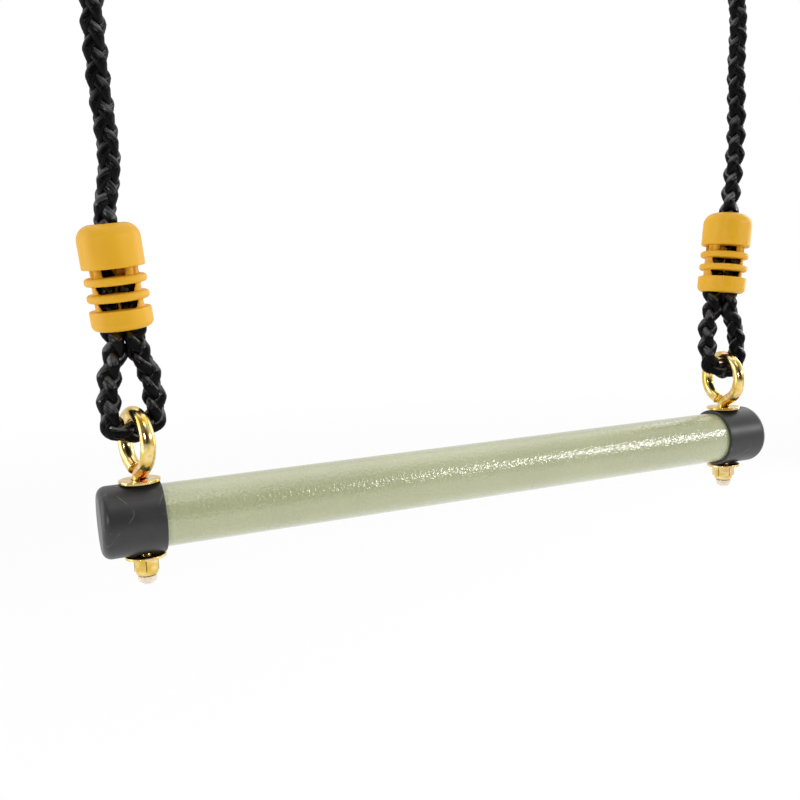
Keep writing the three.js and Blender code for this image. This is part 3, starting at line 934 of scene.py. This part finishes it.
def braid_tree():
    """Geometry nodes that lay a round braid of four strands along a curve."""
    tree = bpy.data.node_groups.new("round_braid", "GeometryNodeTree")
    given = braid_inputs(tree)
    inputs = {
        "Curve": strand_lines(tree, given),
        "Profile Curve": strand_section(tree, given),
        "Fill Caps": True,
    }
    skin = add_node(tree, "GeometryNodeCurveToMesh", inputs).outputs["Mesh"]
    real = add_node(tree, "GeometryNodeRealizeInstances", {"Geometry": skin}).outputs["Geometry"]
    inputs = {"Geometry": real, "Material": given["Material"]}
    painted = add_node(tree, "GeometryNodeSetMaterial", inputs).outputs["Geometry"]
    add_node(tree, "NodeGroupOutput", {"Geometry": painted})
    return tree


def braided(name, line, sizes, crown, tree, material):
    """A braid along a line of points, as a plain mesh. Sizes are shares at each point."""
    data = bpy.data.curves.new(name, "CURVE")
    data.dimensions = "3D"
    data.twist_mode = "MINIMUM"
    spline = data.splines.new("POLY")
    spline.points.add(len(line) - 1)
    for point, place, size in zip(spline.points, line, sizes):
        point.co = (*place, 1.0)
        point.radius = size
    source = add_object(name + "_line", data)
    modifier = source.modifiers.new("braid", "NODES")
    modifier.node_group = tree
    inputs = {"Crown Angle": crown, "Material": material}
    for item in tree.interface.items_tree:
        if item.in_out == "INPUT" and item.name in inputs:
            modifier[item.identifier] = inputs[item.name]
    depsgraph = bpy.context.evaluated_depsgraph_get()
    mesh = bpy.data.meshes.new_from_object(source.evaluated_get(depsgraph))
    mesh.name = name
    mesh.shade_smooth()
    bpy.data.objects.remove(source)
    return add_object(name, mesh)


def softened(shares):
    """Shares that run into each other: each becomes the mean of itself and its neighbours."""
    for _ in range(SHARE_SOFTENING):
        groups = [shares[max(0, index - 1) : index + 2] for index in range(len(shares))]
        shares = [sum(group) / len(group) for group in groups]
    return shares


def make_cord(name, body, line, shares, crown, tree, material):
    """One length of rope along a line, with the braid's share of its size at each point."""
    piece = braided(name + "_braid", line, softened(shares), crown, tree, material)
    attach(piece, body)
    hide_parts(name)


def loop_share(along):
    """The braid's size in a loop, by its height in the clamp's frame."""
    if along > CLAMP_MOUTH:
        return GRIPPED_SHARE
    if along > CLAMP_MOUTH - NECKED_LENGTH:
        return NECKED_SHARE
    return SEATED_SHARE if along < -LOOP_REACH + ROPE_RADIUS / 2 else 1.0


def make_ropes(material):
    tree = braid_tree()
    for name, side in SIDES.items():
        lower = lower_frame(side)
        seat = lower.inverted() @ bolt_point(side, LOOP_SEAT) + Vector((0, 0, LOOP_REACH))
        lower_points = loop_points(seat, side["eye_turn"] - side["clamp_turn"])
        upper_points = loop_points(Vector(), 0)
        loops = (("lower", lower, lower_points), ("upper", upper_frame(side), upper_points))
        for end, place, points in loops:
            route = curve_through(points)
            line = [place @ point for point in route]
            shares = [loop_share(point.z) for point in route]
            node, body, crown = f"{name}_{end}_loop", f"{name}_{end}", side["loop_crown"]
            make_cord(node, body, line, shares, crown, tree, material)
        bend = lower.translation
        points = [Vector((side["sign"] * out * MM, 0, up * MM)) for out, up in ROPE_ROUTES[name]]
        line = curve_through([bend + point for point in points])
        mouth = line[-1].z - MOUTH_LENGTH
        shares = [MOUTH_SHARE if place.z > mouth else 1.0 for place in line]
        node, body, crown = f"{name}_rope", f"{name}_stretch", side["rope_crown"]
        make_cord(node, body, line, shares, crown, tree, material)


# Bar and end caps


def bolt_drill():
    return turned("drill", cylinder(HOLE_RADIUS, -TUBE_DIAMETER, TUBE_DIAMETER), BORE_FACETS)


def make_bar(paint):
    reach = BOLT_SPACING / 2 + CAP_OUTBOARD - CAP_END_WALL - SEAT_GAP
    corners = [
        (radius, height, TUBE_EDGE_ROUND)
        for radius, height in (
            (TUBE_RADIUS - TUBE_WALL, -reach),
            (TUBE_RADIUS, -reach),
            (TUBE_RADIUS, reach),
            (TUBE_RADIUS - TUBE_WALL, reach),
        )
    ]
    tube = turned_outline("bar_tube_skin", corners, 3, LARGE_FACETS, closed=True)
    tube.data.transform(Matrix.Rotation(math.pi / 2, 4, "Y"))
    for side in SIDES.values():
        drill = bolt_drill()
        drill.data.transform(Matrix.Translation((side["sign"] * BOLT_SPACING / 2, 0, 0)))
        combine(tube, drill)
    tube.data.transform(Matrix.Translation((0, 0, BAR_AXIS)))
    smoothed(tube)
    dress(tube, "bar_tube", "bar", paint)


def cap_blank():
    """An end cap, closed towards +X, with the bolt's axis through its origin."""
    inner = CAP_RADIUS - CAP_WALL
    floor = CAP_OUTBOARD - CAP_END_WALL
    corners = [
        (0, floor, 0),
        (inner, floor, 0),
        (inner, -CAP_INBOARD, CAP_RIM_ROUND / 3),
        (CAP_RADIUS, -CAP_INBOARD, CAP_RIM_ROUND),
        (CAP_RADIUS, CAP_OUTBOARD, CAP_EDGE_ROUND),
        (0, CAP_OUTBOARD, 0),
    ]
    cap = turned_outline("cap_blank", corners, 12, LARGE_FACETS)
    cap.data.transform(Matrix.Rotation(math.pi / 2, 4, "Y"))
    combine(cap, bolt_drill())
    return smoothed(cap)


# Fasteners


def eye_bolt_line():
    """Middle line of the eye bolt's wire, up from the end of its thread."""
    sweep = math.pi + 2 * EYE_FLARE
    parts = [
        (BEND_START - BOLT_END, 0),
        (EYE_BEND_RADIUS * EYE_FLARE, -EYE_FLARE),
        (FLARE_LENGTH, 0),
        (EYE_RADIUS * sweep, sweep),
        (EYE_END, 0),
    ]
    across, up, heading = 0.0, BOLT_END, math.pi / 2
    line = [Vector((0, across, up))]
    for length, turn in parts:
        steps = max(2, round(abs(turn) / EYE_STEP))
        for step in range(1, steps + 1):
            share = step / steps
            if turn == 0:
                ahead = length * share
                spot = (across + ahead * math.cos(heading), up + ahead * math.sin(heading))
            else:
                radius = length / turn
                new_heading = heading - turn * share
                spot = (
                    across + radius * (math.sin(heading) - math.sin(new_heading)),
                    up + radius * (math.cos(new_heading) - math.cos(heading)),
                )
            line.append(Vector((0, *spot)))
        across, up = line[-1].y, line[-1].z
        heading -= turn
    return line


def eye_bolt_blank():
    line = eye_bolt_line()
    for end, inner in ((0, 1), (-1, -2)):
        line[end] = line[end] + (line[inner] - line[end]).normalized() * WIRE_END_ROUND
    return smoothed(swept("eye_bolt_blank", line, BOLT_RADIUS, WIRE_FACETS, WIRE_END_ROUND))


def washer_blank():
    outer = WASHER_DIAMETER / 2
    corners = [
        (HOLE_RADIUS, 0, WASHER_ROUND / 3),
        (outer, 0, WASHER_ROUND / 2),
        (outer, WASHER_THICKNESS, WASHER_ROUND),
        (HOLE_RADIUS, WASHER_THICKNESS, WASHER_ROUND / 2),
    ]
    return smoothed(turned_outline("washer_blank", corners, 4, MIDDLE_FACETS, closed=True))


def darken_corners(nut):
    """Marks the points on a hexagon's corners, which are drawn darker."""
    marks = nut.data.attributes.new("dark_corner", "FLOAT", "POINT")
    for vertex, mark in zip(nut.data.vertices, marks.data):
        turn = math.atan2(vertex.co.y, vertex.co.x) % (math.pi / 3)
        near = min(turn, math.pi / 3 - turn) < NUT_CORNER_SPREAD
        outside = vertex.co.xy.length > NUT_ACROSS_FLATS / 2 and vertex.co.z > -NUT_HEX_HEIGHT
        mark.value = float(near and outside)


def nut_blank():
    """A lock nut, hanging from its upper face, with a round collar below the hexagon."""
    corner = NUT_ACROSS_FLATS / math.sqrt(3)
    collar = NUT_COLLAR_DIAMETER / 2
    bottom = -NUT_HEX_HEIGHT - NUT_COLLAR_HEIGHT
    hexagon = [(corner * x, corner * y, NUT_CORNER_ROUND) for x, y in circle_points(6)]
    nut = prism("nut_blank", soft_outline(hexagon, steps=4), -NUT_HEX_HEIGHT, 0)
    envelope = [
        (0, -NUT_HEX_HEIGHT, 0),
        (corner - NUT_CHAMFER, -NUT_HEX_HEIGHT, NUT_CHAMFER / 4),
        (corner, -NUT_HEX_HEIGHT + NUT_CHAMFER / 2, 0),
        (corner, -NUT_CHAMFER / 2, 0),
        (corner - NUT_CHAMFER, 0, NUT_CHAMFER / 4),
        (0, 0, 0),
    ]
    combine(nut, turned_outline("envelope", envelope, 3, MIDDLE_FACETS), "INTERSECT")
    ring = [
        (0, bottom, 0),
        (collar, bottom, NUT_COLLAR_ROUND),
        (collar, -NUT_HEX_HEIGHT + NUT_CHAMFER, 0),
        (0, -NUT_HEX_HEIGHT + NUT_CHAMFER, 0),
    ]
    combine(nut, turned_outline("collar", ring, 8, MIDDLE_FACETS), "UNION")
    bore = cylinder(BOLT_RADIUS + SEAT_GAP, 2 * bottom, CUT_OVERRUN)
    combine(nut, turned("bore", bore, BORE_FACETS))
    darken_corners(nut)
    return smoothed(nut, NUT_SHARP_ANGLE)


def thread_cap_blank():
    outer = THREAD_CAP_DIAMETER / 2
    inner = BOLT_RADIUS + SEAT_GAP
    corners = [
        (0, -BOLT_TAIL - THREAD_CAP_END_WALL, 0),
        (outer, -BOLT_TAIL - THREAD_CAP_END_WALL, THREAD_CAP_ROUND),
        (outer, 0, WASHER_ROUND),
        (inner, 0, 0),
        (inner, -BOLT_TAIL, 0),
        (0, -BOLT_TAIL, 0),
    ]
    return smoothed(turned_outline("thread_cap_blank", corners, 10, SMALL_FACETS))


def make_fastenings(zinc, plastic, nylon):
    blanks = {
        "end_cap": (cap_blank(), plastic, "cap_plastic"),
        "eye_bolt": (eye_bolt_blank(), zinc, "yellow_zinc"),
        "washer": (washer_blank(), zinc, "yellow_zinc"),
        "lock_nut": (nut_blank(), zinc, "yellow_zinc"),
        "thread_cap": (thread_cap_blank(), nylon, "white_nylon"),
    }
    for name, side in SIDES.items():
        pieces = (
            ("end_cap", "end_cap", 0, side["outboard_turn"]),
            ("eye_bolt", "eye_bolt", 0, side["eye_turn"]),
            ("upper_washer", "washer", WASHER_FACE, 0),
            ("lower_washer", "washer", -WASHER_TOP, 0),
            ("lock_nut", "lock_nut", NUT_TOP, NUT_TURN),
            ("thread_cap", "thread_cap", NUT_BOTTOM - SEAT_GAP, 0),
        )
        for part, kind, height, turn in pieces:
            blank, material, slot = blanks[kind]
            place = Matrix.Translation(bolt_point(side, height)) @ Matrix.Rotation(turn, 4, "Z")
            piece = copied(blank, f"{name}_{part}_skin", place)
            dress(piece, f"{name}_{part}", "bar", material)
    for blank, _, _ in blanks.values():
        bpy.data.objects.remove(blank)


# Rope clamps


def clamp_outline():
    """Half of the clamp's section, up from its collar, with a round neck in the grooves."""
    radius = CLAMP_DIAMETER / 2
    rim = radius - CLAMP_TAPER
    neck = CLAMP_NECK_WIDTH / 2 + CLAMP_EDGE_ROUND
    under_head, between_flanges, over_collar = GROOVE_TOPS
    grooves = (
        (over_collar, CLAMP_EDGE_ROUND, rim, CLAMP_FLANGE_ROUND),
        (between_flanges, CLAMP_FLANGE_ROUND, rim, CLAMP_FLANGE_ROUND),
        (under_head, CLAMP_FLANGE_ROUND, radius, CLAMP_EDGE_ROUND),
    )
    corners = [(0, CLAMP_MOUTH, 0), (rim, CLAMP_MOUTH, CLAMP_COLLAR_ROUND)]
    for top, lower_round, upper_rim, upper_round in grooves:
        corners += [
            (rim, top - CLAMP_GROOVE, lower_round),
            (neck, top - CLAMP_GROOVE, 0),
            (neck, top, 0),
            (upper_rim, top, upper_round),
        ]
    corners += [(radius, BEND_DEPTH, CLAMP_SHOULDER), (0, BEND_DEPTH, 0)]
    return soft_outline(corners, steps=12, closed=False)


def neck_outline():
    """The neck's oval outline and a circle round it, with as many points."""
    half_width = CLAMP_NECK_WIDTH / 2 - CLAMP_NECK_CORNER
    half_depth = CLAMP_NECK_DEPTH / 2 - CLAMP_NECK_CORNER
    neck = []
    circle = []
    for across, deep in circle_points(MIDDLE_FACETS, offset=0.5):
        x = math.copysign(half_width, across) + CLAMP_NECK_CORNER * across
        y = math.copysign(half_depth, deep) + CLAMP_NECK_CORNER * deep
        neck.append((x, y))
        circle.append((CLAMP_DIAMETER * across, CLAMP_DIAMETER * deep))
    return neck, circle


def cut_bores(clamp):
    """Cuts a bore for each leg, the long leg's way to the bend, and the flared mouth."""
    bottom = CLAMP_MOUTH - CUT_OVERRUN
    crossing = [Vector((across, 0, along)) * MM for across, along in LOOP_ROUTE[-CROSSING_POINTS:]]
    short_across, short_end = LOOP_ROUTE[0]
    legs = ((short_across * MM, short_end * MM + SEAT_GAP), (crossing[0].x, crossing[0].z))
    for across, end in legs:
        drill = turned("drill", cylinder(BORE_RADIUS, bottom, end), BORE_FACETS)
        drill.data.transform(Matrix.Translation((across, 0, 0)))
        combine(clamp, drill)
    combine(clamp, swept("drill", curve_through(crossing, steps=4), BORE_RADIUS, BORE_FACETS))
    funnel = [
        (0, -BORE_FLOOR),
        (BORE_RADIUS, -BORE_FLOOR),
        (BORE_RADIUS, BEND_DEPTH - MOUTH_FLARE),
        (MOUTH_RADIUS, BEND_DEPTH),
        (MOUTH_RADIUS, BEND_DEPTH + CUT_OVERRUN),
        (0, BEND_DEPTH + CUT_OVERRUN),
    ]
    combine(clamp, turned("drill", funnel, SMALL_FACETS))


def window(top, width, slant, floor, turn):
    """A tool of a groove's height that cuts from its floor out through one face of the neck."""
    bottom = top - CLAMP_GROOVE
    outline = [
        (-width / 2 + slant, bottom),
        (width / 2 - slant, bottom),
        (width / 2, top),
        (-width / 2, top),
    ]
    made = prism("window", outline, floor, CLAMP_DIAMETER)
    made.data.transform(Matrix.Rotation(turn, 4, "Z") @ Matrix.Rotation(math.pi / 2, 4, "X"))
    return made


def cut_windows(clamp):
    """Opens the grooves to the bores in front and behind, and leaves thin webs between."""
    for top, width, slant, floor in zip(GROOVE_TOPS, WINDOW_WIDTHS, WINDOW_SLANTS, WINDOW_FLOORS):
        for turn in (0, math.pi):
            combine(clamp, window(top, width, slant, floor, turn))
    for width, depth, low, high in WEBS:
        combine(clamp, box(0, width, -depth / 2, depth, low, high), "UNION")


def make_posts(clamp):
    """Under the head, opens the sides and leaves two posts on each face, recessed beside them."""
    top = GROOVE_TOPS[0]
    bottom = top - CLAMP_GROOVE
    face = CLAMP_NECK_DEPTH / 2
    post = cylinder(POST_RADIUS, bottom - CLAMP_EDGE_ROUND, top + CLAMP_EDGE_ROUND)
    post_across = POST_GAP / 2 + POST_RADIUS
    beside = post_across + CLAMP_NECK_WIDTH / 2
    for turn in (0, math.pi):
        combine(clamp, window(top, SIDE_WINDOW, 0, SIDE_WINDOW_FLOOR, turn + math.pi / 2))
        facing = Matrix.Rotation(turn, 4, "Z")
        for side in (-1, 1):
            width = CLAMP_NECK_WIDTH
            recess = box(side * beside, width, face - POST_RECESS, width, bottom, top)
            recess.data.transform(facing)
            combine(clamp, recess)
            pillar = turned("post", post, WIRE_FACETS)
            place = (side * post_across, POST_STAND + face - POST_RADIUS, 0)
            pillar.data.transform(facing @ Matrix.Translation(place))
            combine(clamp, pillar, "UNION")


def clamp_blank():
    """The moulded clamp: a domed head, two flanges and a collar on an oval neck with windows."""
    clamp = turned("clamp_blank", clamp_outline(), LARGE_FACETS)
    neck, circle = neck_outline()
    for top in GROOVE_TOPS:
        combine(clamp, ring_prism("groove", neck, circle, top - CLAMP_GROOVE, top))
    cut_bores(clamp)
    cut_windows(clamp)
    make_posts(clamp)
    remesh = clamp.modifiers.new("mould", "REMESH")
    remesh.mode = "VOXEL"
    remesh.voxel_size = CLAMP_VOXEL
    soften = clamp.modifiers.new("soften", "SMOOTH")
    soften.factor = 0.5
    soften.iterations = CLAMP_SOFTENING
    baked(clamp)
    clamp.data.shade_smooth()
    return clamp


def make_clamps(material):
    blank = clamp_blank()
    for name, side in SIDES.items():
        for end, place in (("lower", lower_frame(side)), ("upper", upper_frame(side))):
            node = f"{name}_{end}_clamp"
            piece = copied(blank, node + "_skin", place)
            dress(piece, node, f"{name}_{end}", material)
    bpy.data.objects.remove(blank)


# Hanging rings


def make_rings(material):
    spokes = [Vector((x, 0, z)) for x, z in circle_points(LARGE_FACETS)]
    for name, side in SIDES.items():
        centre = hung_point(side, RING_WIRE_HEIGHT + RING_RADIUS)
        line = [centre + spoke * RING_RADIUS for spoke in spokes]
        ring = swept(f"{name}_hanging_ring_skin", line, RING_WIRE / 2, WIRE_FACETS, closed=True)
        smoothed(ring)
        dress(ring, f"{name}_hanging_ring", "hanging_rings", material)


# Stage, light and camera


def make_stage():
    """A white floor, which the camera sees as paper that glows a little less near the bar."""
    height = BAR_AXIS - FLOOR_DROP
    floor = turned("floor", [(0, height), (FLOOR_RADIUS, height)], MIDDLE_FACETS)
    material = bpy.data.materials.new("floor_white")
    material.use_nodes = True
    tree = material.node_tree
    tree.nodes.clear()
    place = add_node(tree, "ShaderNodeTexCoord").outputs["Object"]
    paper = add_node(
        tree, "ShaderNodeBsdfDiffuse", {"Color": (FLOOR_TONE, FLOOR_TONE, FLOOR_TONE, 1)}
    )
    glow = add_node(tree, "ShaderNodeEmission", {"Color": (1, 1, 1, 1), "Strength": 1.0})
    rays = add_node(tree, "ShaderNodeLightPath").outputs
    depth = add_node(tree, "ShaderNodeSeparateXYZ", {"Vector": place}).outputs["Y"]
    behind = ranged(tree, depth, *MIRRORED_GLOW, *MIRRORED_REACH)
    seen = calc(tree, "MAXIMUM", rays["Is Camera Ray"], times(tree, rays["Is Glossy Ray"], behind))
    inputs = {0: place, 1: (0, 0, height)}
    distance = add_node(tree, "ShaderNodeVectorMath", inputs, operation="DISTANCE")
    share = ranged(tree, distance.outputs["Value"], *FLOOR_GLOW, *FLOOR_GLOW_REACH)
    inputs = {0: times(tree, seen, share), 1: paper.outputs[0], 2: glow.outputs[0]}
    mixed = add_node(tree, "ShaderNodeMixShader", inputs)
    add_node(tree, "ShaderNodeOutputMaterial", {"Surface": mixed.outputs[0]})
    floor.data.materials.append(material)


def make_world():
    """A white room, which is dark toward the camera in all but what the camera sees."""
    world = bpy.data.worlds.new("studio")
    bpy.context.scene.world = world
    world.use_nodes = True
    tree = world.node_tree
    tree.nodes.clear()
    rays = add_node(tree, "ShaderNodeLightPath").outputs
    way = add_node(tree, "ShaderNodeTexCoord").outputs["Generated"]
    dark = add_node(tree, "ShaderNodeVectorMath", {0: way, 1: DARK_WAY}, operation="DOT_PRODUCT")
    level = ranged(tree, dark.outputs["Value"], *ROOM_LIGHT, *ROOM_LIGHT_REACH)
    for ray in ("Is Camera Ray", "Is Transmission Ray"):
        level = calc(tree, "MAXIMUM", level, rays[ray])
    shade = add_node(tree, "ShaderNodeBackground", {"Color": (1, 1, 1, 1), "Strength": level})
    add_node(tree, "ShaderNodeOutputWorld", {"Surface": shade.outputs[0]})


def make_lamps():
    middle = Vector((0, 0, BAR_AXIS))
    for name, (place, target, size, watts) in LAMPS.items():
        data = bpy.data.lights.new(name, "AREA")
        data.shape = "RECTANGLE"
        data.size, data.size_y = size
        data.energy = watts
        lamp = add_object(name, data)
        lamp.location = middle + Vector(place)
        lamp.rotation_mode = "QUATERNION"
        lamp.rotation_quaternion = (Vector(target) - Vector(place)).to_track_quat("-Z", "Y")
        lamp.visible_camera = False


def make_camera():
    data = bpy.data.cameras.new("camera")
    data.lens = CAMERA_LENS
    data.sensor_width = CAMERA_SENSOR
    camera = add_object("camera", data)
    aim = (
        Matrix.Rotation(-CAMERA_AZIMUTH, 4, "Z")
        @ Matrix.Rotation(math.pi / 2 - CAMERA_DROP, 4, "X")
        @ Matrix.Rotation(-CAMERA_ROLL, 4, "Z")
    )
    camera.matrix_world = Matrix.Translation(CAMERA_PLACE + Vector((0, 0, BAR_AXIS))) @ aim
    bpy.context.scene.camera = camera


make_camera()
make_ropes(black_rope())
make_bar(green_paint())
make_fastenings(yellow_zinc(), cap_plastic(), white_nylon())
make_clamps(clamp_plastic())
make_rings(polished_steel())
make_stage()
make_world()
make_lamps()
bpy.context.scene.view_settings.view_transform = "Standard"
